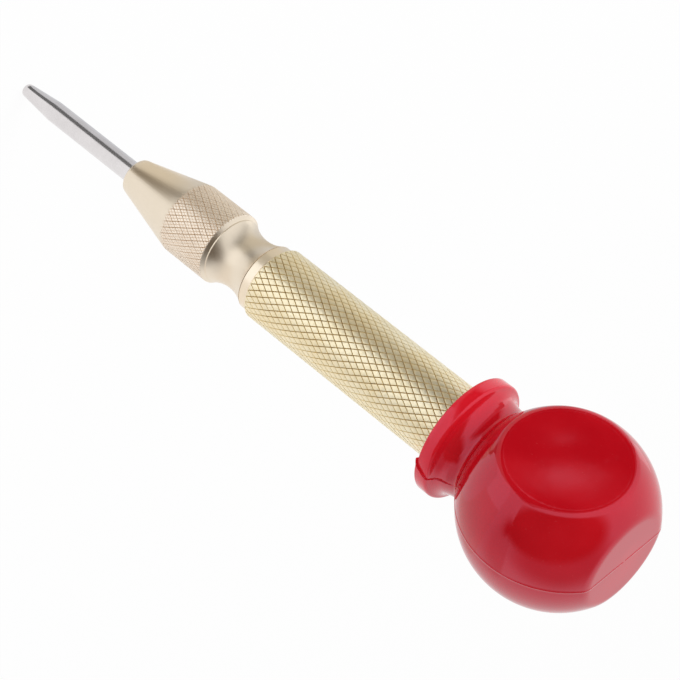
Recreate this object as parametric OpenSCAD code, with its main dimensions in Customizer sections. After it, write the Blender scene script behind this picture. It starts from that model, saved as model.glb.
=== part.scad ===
// Automatic center punch: pressing the ball drives the pin in, cocks the hammer and trips it.
// The axis is Z. The point of the pin is the origin and the ball is at the top.

/* [Pin] */
// Diameter of the straight pin
pin_d = 4; // [3.4:0.1:4.6]
// Length of the tapered point
point_len = 8.2; // [5:0.2:14]
// Diameter across the blunt end of the point
point_d = 2.6; // [1:0.1:3.2]
// How far the pin stands out of the nose
pin_reach = 31; // [20:0.5:40]
// Diameter of the shank that is pressed into the plunger
shank_d = 2.8; // [2:0.1:3.2]
// Length of that shank
shank_len = 3.8; // [3:0.1:4.2]

/* [Nose] */
// Diameter of the nose at its front edge
nose_front_d = 7; // [6.4:0.1:8.4]
// Rounding of that front edge
nose_edge = 0.6; // [0.2:0.1:0.9]
// Length of the smooth cone
cone_len = 13.9; // [10:0.1:20]
// Diameter of the knurled band of the nose
nose_d = 13.9; // [13:0.1:14]
// Length of the knurled band of the nose
nose_band_len = 11.4; // [8:0.1:16]
// How far the knurled band stands proud of the cone
cone_step = 0.3; // [0.1:0.05:0.5]
// Chamfer at the rear of the knurled band
band_chamfer = 0.55; // [0.2:0.05:0.7]
// Smallest diameter of the coved waist
waist_d = 10.4; // [10.2:0.1:11.4]
// Length of the waist
waist_len = 8.6; // [8:0.1:11]
// Length of the hole that guides the pin
guide_len = 8; // [6:0.1:10]
// Diameter of the chamber that the plunger runs in
chamber_d = 7.2; // [6.8:0.1:7.4]

/* [Barrel] */
// Diameter over the knurling of the barrel
barrel_d = 14; // [13.9:0.1:16]
// Length of the barrel behind the waist
barrel_len = 62; // [58:0.5:64]
// Diameter of the smooth ring at the front
ring_d = 12.8; // [12.4:0.1:13.4]
// Length of the ring
ring_len = 1.7; // [1.2:0.1:2.4]
// Length of the bevel between ring and knurling
ring_bevel = 0.5; // [0.3:0.05:0.8]
// Chamfer on the outer edges of the barrel
barrel_chamfer = 0.35; // [0.2:0.05:0.5]
// How far the smooth stretch under the ball's skirt lies below the knurling
skirt_step = 0.2; // [0.2:0.05:0.4]
// How far the knurling stops short of the ball's lip
knurl_gap = 0.5; // [0.3:0.1:1]
// Diameter of the bore that the hammer runs in
bore_d = 10.4; // [9.8:0.1:10.8]
// Diameter of the threaded spigot that the nose screws onto
spigot_d = 8; // [7.8:0.1:8.2]
// Length of that spigot
spigot_len = 7.7; // [6:0.1:8]
// Diameter of the thread for the end cap
rear_thread_d = 11; // [10.9:0.1:11.6]
// Depth of the thread for the end cap
rear_thread_len = 14.4; // [12:0.1:16]

/* [Trip mechanism] */
// Stroke of the pin until the hammer is let go
stroke = 8; // [6:0.1:8.5]
// Diameter of the trip stem
stem_d = 2.2; // [1.8:0.1:2.4]
// How far the canted stem's end lies off the axis at rest
trip_offset = 1.2; // [1:0.05:1.3]
// Length of the collar that centres the stem in the throat
collar_len = 1.6; // [1:0.1:2]
// Length of the throat at the front of the spigot
throat_len = 1.8; // [1.4:0.1:2.6]
// Thickness of the plunger's flange
flange_len = 2.8; // [2:0.1:3.4]
// Diameter of the plunger's boss
boss_d = 4.4; // [4.2:0.1:4.8]
// Length of the plunger's boss
boss_len = 4.2; // [3.8:0.1:5]
// Length of the hammer without its spring pilot
hammer_len = 22; // [18:0.5:24]
// Length of the pilots that centre the main spring
pilot_len = 3; // [2:0.1:4]

/* [Springs] */
// Wire of the return spring
return_wire = 0.5; // [0.4:0.05:0.6]
// Turns of the return spring
return_turns = 6; // [5:0.5:7]
// Wire of the main spring
main_wire = 1.3; // [1:0.05:1.5]
// Turns of the main spring
main_turns = 9; // [7:0.5:11]
// Air between the closed end turns of both springs
end_air = 0.55; // [0.45:0.05:0.7]

/* [End cap] */
// Thickness of the spring seat
seat_len = 3; // [2.4:0.1:3.6]
// Length of the end cap's threaded shank
cap_shank_len = 9.8; // [8:0.1:11]
// Diameter of the end cap's head
cap_d = 14; // [13:0.1:14.4]
// Length of the end cap's head
cap_len = 10.8; // [8:0.1:11.4]
// Room between the cap's head and the barrel for screwing in
adjust_gap = 3.2; // [3.1:0.1:4]

/* [Ball grip] */
// Diameter of the ball
ball_d = 32.8; // [31:0.1:36]
// Distance from the lip's front to the ball's centre
ball_reach = 20.9; // [20:0.1:23]
// Distance from the lip's front to the end cap's head
skirt_len = 18.4; // [17:0.1:19.5]
// Diameter of the lip
lip_d = 22; // [20:0.1:24]
// Width of the lip's band
lip_len = 2.7; // [2:0.1:3.2]
// Diameter of the neck behind the lip
neck_d = 17.6; // [17:0.1:18.4]
// Distance from the ball's centre to its rear flat
rear_flat = 13.9; // [13:0.1:14.6]
// Distance from the axis to each side flat, at its middle
side_flat = 12; // [11.5:0.1:13]
// Radius of the shallow dish of the side flats
dish_radius = 200; // [100:5:400]
// Rounding where the flats meet the ball
flat_edge = 1.2; // [0.6:0.1:1.6]
// Rounding of the lip's edges
lip_edge = 0.35; // [0.2:0.05:0.6]
// How far the lip's second mould half lies off the first, along the parting plane
lip_shift = 0.6; // [0.2:0.1:0.8]
// How far that half stands out in front of the lip
lip_reach = 0.3; // [0.2:0.05:0.4]

/* [Clearances] */
// Radial running fit of the pin, plunger, hammer and seat
running_fit = 0.06; // [0.03:0.01:0.09]
// Radial gap in the screwed joints
thread_gap = 0.05; // [0.03:0.01:0.08]
// Radial gap in the pressed joints
press_gap = 0.01; // [0:0.005:0.02]
// Axial gap between pieces that rest on each other
rest_gap = 0.05; // [0.03:0.01:0.1]
// Gap at the blind end of sockets and threads
blind_gap = 0.2; // [0.1:0.05:0.4]
// Gap between the canted stem and what it passes through
stem_gap = 0.14; // [0.1:0.02:0.2]
// Gap between a spring and the bore around it
spring_gap = 0.3; // [0.2:0.05:0.4]
// Gap between the barrel and the ball's skirt
skirt_gap = 0.3; // [0.25:0.05:0.5]

/* [Hidden] */
$fn = 96;

// Heights along the axis, from the point to the ball
nose_z = pin_reach;
cone_end_z = nose_z + cone_len;
band_end_z = cone_end_z + nose_band_len;
joint_z = band_end_z + waist_len;
chamber_z = nose_z + guide_len;
flange_z = chamber_z + rest_gap;
boss_z = flange_z + flange_len;
boss_end_z = boss_z + boss_len;
spigot_z = joint_z - spigot_len;
throat_end_z = spigot_z + throat_len;
hammer_bore_z = joint_z + ring_len + ring_bevel;
hammer_z = hammer_bore_z + rest_gap;
hammer_end_z = hammer_z + hammer_len;
barrel_end_z = joint_z + barrel_len;
cap_z = barrel_end_z + adjust_gap;
cap_end_z = cap_z + cap_len;
cap_shank_z = cap_z - cap_shank_len;
seat_z = cap_shank_z - rest_gap - seat_len;
lip_z = cap_z - skirt_len;
lip_end_z = lip_z + lip_len;
knurl_end_z = lip_z - knurl_gap;
ball_z = lip_z + ball_reach;

// The stem swivels on its ball end and leans towards +X at rest
stem_r = stem_d / 2;
stem_socket_r = stem_r + running_fit;
pivot_z = boss_end_z - stem_r - blind_gap;
stem_end_z = hammer_z - stem_gap;
stem_len = stem_end_z - pivot_z;
stem_lean = trip_offset / stem_len;
cant = atan(stem_lean);
throat_r = stem_r / cos(cant) + stem_lean * (throat_end_z - pivot_z) + stem_gap;
relief_r = stem_r / cos(cant) + trip_offset + stem_gap;
collar_r = throat_r - stem_gap;
collar_z = spigot_z - stroke;
hammer_hole_r = stem_r + stem_gap;
hammer_hole_len = stroke + stem_d;

// Radii that follow from the fits
bore_r = bore_d / 2;
slide_r = bore_r - running_fit;
pilot_r = bore_r - spring_gap - main_wire - spring_gap;
return_coil_r = chamber_d / 2 - spring_gap - return_wire / 2;
main_coil_r = bore_r - spring_gap - main_wire / 2;
skirt_r = barrel_d / 2 + skirt_gap;
ball_r = ball_d / 2;
// The rounded edge of a side flat meets the ball at this angle, so that it ends in a clean line
edge_runout = 15;
waist_cove_r = (pow(waist_len / 2, 2) + pow((ring_d - waist_d) / 2, 2)) / (ring_d - waist_d);

// Points of an arc about a centre, from one angle to another
function arc(centre, r, from, to, steps = 6) =
    [for (i = [0:steps]) let (a = from + (to - from) * i / steps) centre + r * [cos(a), sin(a)]];

// A plain band of a turned profile
module band(r, from, to) {
    translate([0, from]) square([r, to - from]);
}

// A round hole along the axis
module hole(r, from, to) {
    translate([0, 0, from]) cylinder(r = r, h = to - from);
}

// A conical hole along the axis
module taper_hole(r_from, r_to, from, to) {
    translate([0, 0, from]) cylinder(r1 = r_from, r2 = r_to, h = to - from);
}

// A cut that leaves its end faces clear of the solid
cut = 1;

// One unbroken helix with nearly closed ends, between two heights
ring_steps = 24;
wire_sides = 6;
end_turn = 0.9;
function coil_height(turn, turns, wire, length) =
    let (
        end_pitch = wire + end_air,
        rise = length - wire - 2 * end_turn * end_pitch,
        middle = turns - 2 * end_turn
    )
    wire / 2 + (
        turn < end_turn ? turn * end_pitch
        : turn > turns - end_turn ? length - wire - (turns - turn) * end_pitch
        : end_turn * end_pitch + (turn - end_turn) * rise / middle
    );
function coil_points(turns, wire, coil_r, from, to) =
    [for (i = [0:turns * ring_steps])
        let (turn = i / ring_steps)
        [coil_r * cos(360 * turn), coil_r * sin(360 * turn), from + coil_height(turn, turns, wire, to - from)]];

// Least distance between a point of the wire and the wire about one turn on, less the wire
function coil_gap(points, wire) =
    min([for (i = [0:len(points) - 1], k = [ring_steps - 2:ring_steps + 2])
        if (i + k < len(points)) norm(points[i + k] - points[i])]) - wire;

module coil(turns, wire, coil_r, from, to) {
    centres = coil_points(turns, wire, coil_r, from, to);
    count = len(centres);
    vertices = [for (c = centres) let (out = [c.x, c.y, 0] / coil_r)
        for (s = [0:wire_sides - 1]) let (a = 360 * s / wire_sides)
            c + wire / 2 * (cos(a) * out + sin(a) * [0, 0, 1])];
    function at(i, s) = i * wire_sides + s % wire_sides;
    sides = [for (i = [0:count - 2], s = [0:wire_sides - 1])
        each [[at(i, s), at(i, s + 1), at(i + 1, s + 1)], [at(i, s), at(i + 1, s + 1), at(i + 1, s)]]];
    ends = [for (s = [1:wire_sides - 2])
        each [[at(0, 0), at(0, s + 1), at(0, s)],
              [at(count - 1, 0), at(count - 1, s), at(count - 1, s + 1)]]];
    polyhedron(points = vertices, faces = [for (f = concat(sides, ends)) [f[2], f[1], f[0]]]);
}

// Steel pin with a tapered blunt point and a shank for the plunger
module punch_tip() {
    tip_round = point_d / 5;
    color("#c9c6c8") rotate_extrude() polygon(concat(
        [[0, 0]],
        arc([point_d / 2 - tip_round, tip_round], tip_round, -90, -5),
        [[pin_d / 2, point_len],
         [pin_d / 2, flange_z],
         [shank_d / 2, flange_z],
         [shank_d / 2, flange_z + shank_len],
         [0, flange_z + shank_len]]
    ));
}

// Brass nose: cone, knurled band and coved waist, bored for the pin, the plunger and the spigot
module nose_cap() {
    front_r = nose_front_d / 2;
    band_r = nose_d / 2;
    cone_r = band_r - cone_step;
    flank = atan((cone_r - front_r) / cone_len);
    color("#dccdae") difference() {
        rotate_extrude() difference() {
            polygon(concat(
                [[0, nose_z]],
                arc([front_r - nose_edge, nose_z + nose_edge], nose_edge, -90, -flank),
                [[cone_r, cone_end_z - 2 * cone_step],
                 [band_r, cone_end_z],
                 [band_r, band_end_z - band_chamfer],
                 [band_r - band_chamfer, band_end_z],
                 [ring_d / 2, band_end_z],
                 [ring_d / 2, joint_z],
                 [0, joint_z]]
            ));
            translate([waist_d / 2 + waist_cove_r, band_end_z + waist_len / 2]) circle(r = waist_cove_r);
        }
        hole(pin_d / 2 + running_fit, nose_z - cut, chamber_z + cut);
        hole(chamber_d / 2, chamber_z, spigot_z);
        hole(spigot_d / 2 + thread_gap, spigot_z - blind_gap, joint_z + cut);
    }
}

// Brass barrel: spigot with the throat, smooth ring, knurled grip and the bores
module barrel() {
    throat_lead = stem_gap * 2;
    outer_r = barrel_d / 2;
    rear_r = outer_r - skirt_step;
    color("#d8c48e") difference() {
        rotate_extrude() polygon([
            [0, spigot_z],
            [spigot_d / 2 - barrel_chamfer, spigot_z],
            [spigot_d / 2, spigot_z + barrel_chamfer],
            [spigot_d / 2, joint_z],
            [ring_d / 2 - barrel_chamfer, joint_z],
            [ring_d / 2, joint_z + barrel_chamfer],
            [ring_d / 2, joint_z + ring_len],
            [outer_r, joint_z + ring_len + ring_bevel],
            [outer_r, knurl_end_z],
            [rear_r, knurl_end_z],
            [rear_r, barrel_end_z - barrel_chamfer],
            [rear_r - barrel_chamfer, barrel_end_z],
            [0, barrel_end_z]
        ]);
        hole(throat_r, spigot_z - cut, throat_end_z + cut);
        taper_hole(throat_r + throat_lead, throat_r, spigot_z, spigot_z + throat_lead);
        hole(relief_r, throat_end_z, hammer_bore_z + cut);
        hole(bore_r, hammer_bore_z, barrel_end_z + cut);
        hole(rear_thread_d / 2, barrel_end_z - rear_thread_len, barrel_end_z + cut);
    }
}

// Flanged plunger behind the pin, with a seat for the stem's ball end
module plunger() {
    socket_mouth_r = stem_socket_r + stem_gap * 2;
    color("#a9a9ad") difference() {
        rotate_extrude() {
            band(chamber_d / 2 - running_fit, flange_z, boss_z);
            band(boss_d / 2, boss_z, boss_end_z);
        }
        hole(shank_d / 2 + press_gap, flange_z - cut, flange_z + shank_len);
        translate([0, 0, pivot_z]) sphere(r = stem_socket_r);
        taper_hole(stem_socket_r, socket_mouth_r, pivot_z, boss_end_z);
        hole(socket_mouth_r, boss_end_z, boss_end_z + cut);
    }
}

// Canted stem: ball end, shank, and the collar with two cones that the throat centres
module trip_stem() {
    collar_from = collar_z - pivot_z;
    collar_to = collar_from + collar_len;
    collar_ramp = collar_r - stem_r;
    end_chamfer = stem_r / 5;
    color("#8f9096") translate([0, 0, pivot_z]) rotate([0, cant, 0]) {
        sphere(r = stem_r);
        rotate_extrude() polygon([
            [0, 0],
            [stem_r, 0],
            [stem_r, collar_from - collar_ramp],
            [collar_r, collar_from],
            [collar_r, collar_to],
            [stem_r, collar_to + collar_ramp],
            [stem_r, stem_len - end_chamfer],
            [stem_r - end_chamfer, stem_len],
            [0, stem_len]
        ]);
    }
}

// Light spring between the plunger's flange and the spigot
module return_spring() {
    color("#b9bcc2") coil(return_turns, return_wire, return_coil_r, boss_z + rest_gap, spigot_z - rest_gap);
}

// Steel hammer with the blind hole for the stem and a pilot for the main spring
module hammer() {
    hammer_chamfer = 0.5;
    color("#77787d") difference() {
        rotate_extrude() {
            polygon([
                [0, hammer_z],
                [slide_r - hammer_chamfer, hammer_z],
                [slide_r, hammer_z + hammer_chamfer],
                [slide_r, hammer_end_z - hammer_chamfer],
                [slide_r - hammer_chamfer, hammer_end_z],
                [0, hammer_end_z]
            ]);
            band(pilot_r, hammer_end_z, hammer_end_z + pilot_len);
        }
        hole(hammer_hole_r, hammer_z - cut, hammer_z + hammer_hole_len);
    }
}

// Heavy spring between the hammer and the seat
module main_spring() {
    color("#9a9ca3") coil(main_turns, main_wire, main_coil_r, hammer_end_z + rest_gap, seat_z - rest_gap);
}

// Disc that takes the spring's thrust, so that the spring doesn't turn with the cap
module spring_seat() {
    color("#8d8f94") rotate_extrude() {
        band(slide_r, seat_z, seat_z + seat_len);
        band(pilot_r, seat_z - pilot_len, seat_z);
    }
}

// Brass adjusting cap, screwed into the barrel and pressed into the ball
module end_cap() {
    head_chamfer = 0.6;
    head_r = cap_d / 2;
    color("#d8c48e") rotate_extrude() {
        band(rear_thread_d / 2 - thread_gap, cap_shank_z, cap_z);
        polygon([
            [0, cap_z],
            [head_r, cap_z],
            [head_r, cap_end_z - head_chamfer],
            [head_r - head_chamfer, cap_end_z],
            [0, cap_end_z]
        ]);
    }
}

// Turned outline of the lip's band, from its front to its rear edge
module lip_outline(front_z) {
    edge_x = lip_d / 2 - lip_edge;
    polygon(concat(
        [[0, front_z]],
        arc([edge_x, front_z + lip_edge], lip_edge, -90, 0),
        arc([edge_x, lip_end_z - lip_edge], lip_edge, 0, 90),
        [[0, lip_end_z]]
    ));
}

// Turned outline of the grip: lip, coved neck, and the ball with its rear flat
module grip_outline() {
    neck_r = neck_d / 2;
    neck_z = ball_z - sqrt(pow(ball_r, 2) - pow(neck_r, 2));
    lip_top_r = lip_d / 2 - lip_edge;
    cove_drop = lip_top_r - neck_r;
    cove_len = neck_z - lip_end_z;
    cove_r = (pow(cove_drop, 2) + pow(cove_len, 2)) / (2 * cove_drop);
    edge_angle = asin((rear_flat - flat_edge) / (ball_r - flat_edge));
    edge_centre = (ball_r - flat_edge) * [cos(edge_angle), sin(edge_angle)];
    lip_outline(lip_z);
    difference() {
        band(lip_top_r, lip_end_z - lip_edge, neck_z);
        translate([neck_r + cove_r, neck_z]) circle(r = cove_r);
    }
    translate([0, ball_z]) {
        intersection() {
            circle(r = ball_r);
            band(ball_r, neck_z - ball_z - cut, ball_r * sin(edge_angle));
        }
        translate(edge_centre) circle(r = flat_edge);
        band(edge_centre.x, 0, rear_flat);
    }
}

// Cutter for one side flat: a shallow dish whose rounded edge runs out on the ball
module side_cutter() {
    dish_centre = side_flat + dish_radius;
    edge_reach = ball_r - flat_edge;
    edge_angle = acos((pow(dish_centre, 2) + pow(edge_reach, 2) - pow(dish_radius + flat_edge, 2))
        / (2 * dish_centre * edge_reach));
    edge_centre = edge_reach * [sin(edge_angle), cos(edge_angle)];
    dish_turn = atan2(edge_centre.x, dish_centre - edge_centre.y);
    runout_turn = 90 - edge_angle + edge_runout;
    leave = edge_centre + flat_edge * [cos(runout_turn), sin(runout_turn)];
    outside = ball_r + cut;
    fall = (outside - leave.x) / tan(runout_turn);
    rotate_extrude() polygon(concat(
        [[0, outside]],
        arc([0, dish_centre], dish_radius, -90, dish_turn - 90),
        arc(edge_centre, flat_edge, 90 + dish_turn, runout_turn),
        [[outside, leave.y - fall],
         [outside, outside]]
    ));
}

// Second mould half of the lip, which lies a little off the first and shows a step at the parting line
module lip_half() {
    translate([lip_shift, 0, 0]) rotate_extrude(angle = 180) lip_outline(lip_z - lip_reach);
}

// Moulded red ball with its lip, neck, flats and flash
module ball_grip() {
    color("#b0121a") {
        difference() {
            union() {
                rotate_extrude() grip_outline();
                lip_half();
            }
            for (side = [-90, 90])
                translate([0, 0, ball_z]) rotate([side, 0, 0]) side_cutter();
            hole(skirt_r, lip_z - lip_reach - cut, cap_z);
            hole(cap_d / 2 + press_gap, cap_z - cut, cap_end_z);
        }
    }
}

// Least air between neighbouring turns
echo(return_spring_gap = coil_gap(coil_points(return_turns, return_wire, return_coil_r,
    boss_z + rest_gap, spigot_z - rest_gap), return_wire));
echo(main_spring_gap = coil_gap(coil_points(main_turns, main_wire, main_coil_r,
    hammer_end_z + rest_gap, seat_z - rest_gap), main_wire));

punch_tip();
nose_cap();
barrel();
plunger();
trip_stem();
return_spring();
hammer();
main_spring();
spring_seat();
end_cap();
ball_grip();
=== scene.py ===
# %% [markdown]
# # An automatic center punch
# The tool is pressed on the work by its red ball. The pin slides in, a canted stem pushes a hammer
# against a spring, and at the end of the stroke the hammer is let go and strikes.
# Outside there are four pieces: a steel pin, a pale brass nose, a yellow brass barrel and the ball.
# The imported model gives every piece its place, so it is loaded first and never moved.

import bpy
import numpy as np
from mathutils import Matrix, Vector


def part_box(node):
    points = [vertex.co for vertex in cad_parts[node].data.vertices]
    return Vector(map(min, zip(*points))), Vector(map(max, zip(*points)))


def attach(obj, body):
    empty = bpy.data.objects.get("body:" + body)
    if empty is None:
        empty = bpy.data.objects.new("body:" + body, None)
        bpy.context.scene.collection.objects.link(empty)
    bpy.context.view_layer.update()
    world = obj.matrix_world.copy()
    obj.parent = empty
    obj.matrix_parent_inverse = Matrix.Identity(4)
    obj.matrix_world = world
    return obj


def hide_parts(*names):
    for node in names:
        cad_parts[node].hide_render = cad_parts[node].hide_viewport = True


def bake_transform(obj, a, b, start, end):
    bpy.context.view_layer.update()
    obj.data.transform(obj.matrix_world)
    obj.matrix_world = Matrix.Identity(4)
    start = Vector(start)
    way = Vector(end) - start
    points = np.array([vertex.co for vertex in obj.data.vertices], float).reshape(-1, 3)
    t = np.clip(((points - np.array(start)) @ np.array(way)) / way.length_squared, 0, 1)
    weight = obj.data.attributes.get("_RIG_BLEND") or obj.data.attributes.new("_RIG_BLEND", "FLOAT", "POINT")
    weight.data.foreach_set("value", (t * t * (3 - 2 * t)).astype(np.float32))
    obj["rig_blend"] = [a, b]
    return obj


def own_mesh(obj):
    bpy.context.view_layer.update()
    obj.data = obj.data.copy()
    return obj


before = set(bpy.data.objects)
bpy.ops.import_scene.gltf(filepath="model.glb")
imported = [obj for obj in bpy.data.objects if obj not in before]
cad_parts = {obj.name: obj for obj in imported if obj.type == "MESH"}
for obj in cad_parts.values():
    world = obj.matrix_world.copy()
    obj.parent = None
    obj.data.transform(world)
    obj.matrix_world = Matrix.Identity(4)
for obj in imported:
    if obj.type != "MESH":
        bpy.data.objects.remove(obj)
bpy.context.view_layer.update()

# %% [markdown]
# ## Sizes
# Blender works in metres and a turner in millimetres, so the sizes below are millimetres and one
# factor turns them into metres. The heights at which pieces meet come from the frame.

# %% Heights and shared sizes
from math import acos, asin, atan, atan2, cos, degrees, pi, radians, sin, sqrt, tan

import bmesh
import bpy
from mathutils import Matrix, Vector

MM = 0.001


def heights(node):
    """Lowest and highest point of a node, in millimetres."""
    low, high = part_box(node)
    return low.z / MM, high.z / MM


pin_z, pin_end_z = heights("punch_tip")
nose_z, joint_z = heights("nose_cap")
spigot_z, barrel_end_z = heights("barrel")
cap_end_z = heights("end_cap")[1]
rear_z = heights("ball_grip")[1]

pin_r = 2.0
spigot_r = 4.0
ring_r = 6.4
print("nose from", round(nose_z, 2), "to", round(joint_z, 2), "mm, ball ends at", round(rear_z, 2))

# %% [markdown]
# ## The camera
# The photograph looks at the tool from the ball's side, with the pin pointing away to the upper
# left. A camera is easiest to describe by where it aims, how far it stands off, how far it is
# turned round and raised, and how far it is rolled about its own line of sight.

# %% Camera
camera_aim = Vector((0.35, 0.25, 83.6)) * MM
camera_distance = 374.5 * MM
camera_turn = radians(34.5)
camera_rise = radians(27.14)
camera_roll = radians(128.34)
camera_lens = 117.85
nearest_view = 10 * MM


def new_object(name, data):
    """An object with the given data, in the scene."""
    thing = bpy.data.objects.new(name, data)
    bpy.context.scene.collection.objects.link(thing)
    return thing


def turn_about(axis, angle):
    return Matrix.Rotation(angle, 3, axis)


camera_stand = turn_about("Z", camera_turn) @ turn_about("X", pi / 2 - camera_rise)
camera_stand = camera_stand @ turn_about("Z", camera_roll)
camera_right, camera_up, camera_back = [axis.copy() for axis in camera_stand.col]
camera_spot = camera_aim + camera_distance * camera_back
camera = new_object("camera", bpy.data.cameras.new("camera"))
camera.data.lens = camera_lens
camera.data.clip_start = nearest_view
camera.matrix_world = Matrix.Translation(camera_spot) @ camera_stand.to_4x4()
bpy.context.scene.camera = camera
print("camera stands at", [round(v / MM, 1) for v in camera_spot], "mm")

# %% [markdown]
# ## Nodes as plain expressions
# The finishes, the knurling and the springs are node trees. Wiring nodes one by one hides the idea,
# so one class stands for a socket and lets sums and products be written as Python, and a second
# one adds any node.

# %% Two helper classes for node trees


def operator(operation, swapped=False):
    """A method that adds a Math node for one of Python's operators."""
    def method(self, other):
        values = (other, self) if swapped else (self, other)
        return self.bench.node("ShaderNodeMath", *values, operation=operation)
    return method


class Wire:
    """An output socket in a tree. Arithmetic on wires adds Math nodes."""
    __add__ = __radd__ = operator("ADD")
    __mul__ = __rmul__ = operator("MULTIPLY")
    __sub__ = operator("SUBTRACT")
    __rsub__ = operator("SUBTRACT", swapped=True)
    __truediv__ = operator("DIVIDE")
    __rtruediv__ = operator("DIVIDE", swapped=True)
    __mod__ = operator("FLOORED_MODULO")

    def __init__(self, bench, socket):
        self.bench = bench
        self.socket = socket

    def math(self, operation, *others):
        return self.bench.node("ShaderNodeMath", self, *others, operation=operation)

    def ramp(self, low, high):
        """0 below low, 1 above high, and a smooth step between them."""
        return self.bench.node("ShaderNodeMapRange", interpolation_type="SMOOTHSTEP",
                               Value=self, From_Min=low, From_Max=high)


class Bench:
    """A node tree and one way to add any node to it."""

    def __init__(self, tree):
        self.tree = tree

    def node(self, kind, *values, output=0, **named):
        """Adds a node: values go to its first sockets, and names in small letters are settings."""
        node = self.tree.nodes.new(kind)
        for setting in [name for name in named if name.islower()]:
            setattr(node, setting, named.pop(setting))
        for name, value in (*enumerate(values), *named.items()):
            self.put(node, name, value)
        return Wire(self, node.outputs[output]) if len(node.outputs) else node

    def put(self, node, name, value):
        """Links a wire to a socket or sets its value, by number, identifier or name."""
        known = {socket.identifier: socket for socket in node.inputs}
        known.update(enumerate(node.inputs))
        socket = known[name] if name in known else node.inputs[name.replace("_", " ")]
        if isinstance(value, Wire):
            self.tree.links.new(value.socket, socket)
        else:
            socket.default_value = value

    def other(self, wire, output):
        """Another output of the node that a wire comes from."""
        return Wire(self, wire.socket.node.outputs[output])


print("helper classes ready")

# %% [markdown]
# ## Finishes
# Every finish starts from Object coordinates in millimetres, because each piece sits at the origin
# with its place in its mesh. Noise at two or three scales then moves the colour and roughness a
# little, as handling, turning and moulding do, and a small bump breaks up the reflections.

# %% Shared parts of the finishes


def new_finish(name, **fixed):
    """A material, its bench, and its shader with the constant sockets set."""
    material = bpy.data.materials.new(name)
    material.use_nodes = True
    shader = material.node_tree.nodes["Principled BSDF"]
    for socket, value in fixed.items():
        shader.inputs[socket.replace("_", " ")].default_value = value
    return material, Bench(material.node_tree), shader


def millimetres(bench, stretch=(1, 1, 1)):
    """Object coordinates in millimetres, stretched by a factor along each axis."""
    place = bench.node("ShaderNodeTexCoord", output="Object")
    scale = tuple(factor / MM for factor in stretch)
    return bench.node("ShaderNodeVectorMath", place, scale, operation="MULTIPLY")


def noise(bench, place, scale, detail, roughness):
    """Noise from 0 to 1 whose blobs are about 1 / scale millimetres wide."""
    return bench.node(
        "ShaderNodeTexNoise", Vector=place, Scale=scale, Detail=detail, Roughness=roughness)


def blend_colours(bench, share, first, second):
    """Mix of two colours by a share from 0 to 1."""
    return bench.node("ShaderNodeMix", data_type="RGBA", output=2,
                      Factor_Float=share, A_Color=first, B_Color=second)


def attribute(bench, name):
    """A number that the vertices of the piece carry."""
    return bench.node("ShaderNodeAttribute", attribute_name=name, output="Fac")


def bump(bench, height, strength, depth):
    """Bump normal from a height between 0 and 1 that stands for a depth in millimetres."""
    return bench.node("ShaderNodeBump", Height=height, Strength=strength, Distance=depth * MM)


print("shared finish parts ready")

# %% [markdown]
# ### Brass and steel
# Turned brass keeps fine rings round the axis, so its noise is squeezed along Z. The knurled pieces
# carry two attributes: land is 1 on the flat lands and falls to 0 in the grooves, which are painted
# darker, partly as grime and partly as painted shade, and pressed is 1 where the knurling tool left a
# matt grain and 0 on the plain turned faces, which have a duller colour.

# %% Metal finishes
RING_SQUEEZE = (0.25, 0.25, 9.0)
# Each noise has a scale per millimetre, a detail and a roughness
RING_NOISE = (1.0, 3.0, 0.6)
SMUDGE_NOISE = (0.22, 4.0, 0.55)
FINE_NOISE = (2.6, 2.0, 0.5)
GRAIN_NOISE = (3.0, 2.0, 0.6)
NOISE_MIDDLE = (0.3, 0.7)
LAND_EDGE = (0.1, 0.9)
GRAIN_SPOTS = (0.5, 0.75)
grain_grime = 0.2
grain_height = 12.0
pressed_matt = 0.08
groove_matt = 0.1
turned_bump = 0.3


def turned_metal(name, light, dark, rough, ring_depth, groove_shade_and_grime=None, plain=None):
    """Turned or ground metal with rings and smudges, and with grime and painted shade where knurled."""
    material, bench, shader = new_finish(name, Metallic=1.0)
    even = millimetres(bench)
    rings = noise(bench, millimetres(bench, RING_SQUEEZE), *RING_NOISE)
    smudge = noise(bench, even, *SMUDGE_NOISE)
    fine = noise(bench, even, *FINE_NOISE)
    marks = [wire.ramp(*NOISE_MIDDLE) for wire in (smudge, fine, rings)]
    tone = marks[0] * 0.7 + marks[1] * 0.1 + marks[2] * 0.2
    colour = blend_colours(bench, tone, light, dark)
    roughness = rough[0] + (rough[1] - rough[0]) * (smudge * 0.8 + fine * 0.2)
    height = rings * 0.9 + fine * 0.1
    if groove_shade_and_grime:
        land = attribute(bench, "land")
        pressed = attribute(bench, "pressed")
        # The grooves are painted darker: partly grime, partly painted shade where less light reaches into
        # them.
        groove_shade_and_dirt = (1.0 - land.ramp(*LAND_EDGE)) * (0.35 + 0.4 * smudge)
        colour = blend_colours(bench, groove_shade_and_dirt, colour, groove_shade_and_grime)
        colour = blend_colours(bench, (1.0 - pressed) * (1.0 - 0.3 * tone), colour, plain)
        roughness = roughness + pressed * pressed_matt + groove_shade_and_dirt * groove_matt
        grain = noise(bench, even, *GRAIN_NOISE)
        spots = pressed * grain.ramp(*GRAIN_SPOTS) * grain_grime
        colour = blend_colours(bench, spots, colour, groove_shade_and_grime)
        height = height + pressed * grain * grain_height
    bench.put(shader, "Base Color", colour)
    bench.put(shader, "Roughness", roughness)
    bench.put(shader, "Normal", bump(bench, height, turned_bump, ring_depth))
    return material


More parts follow.
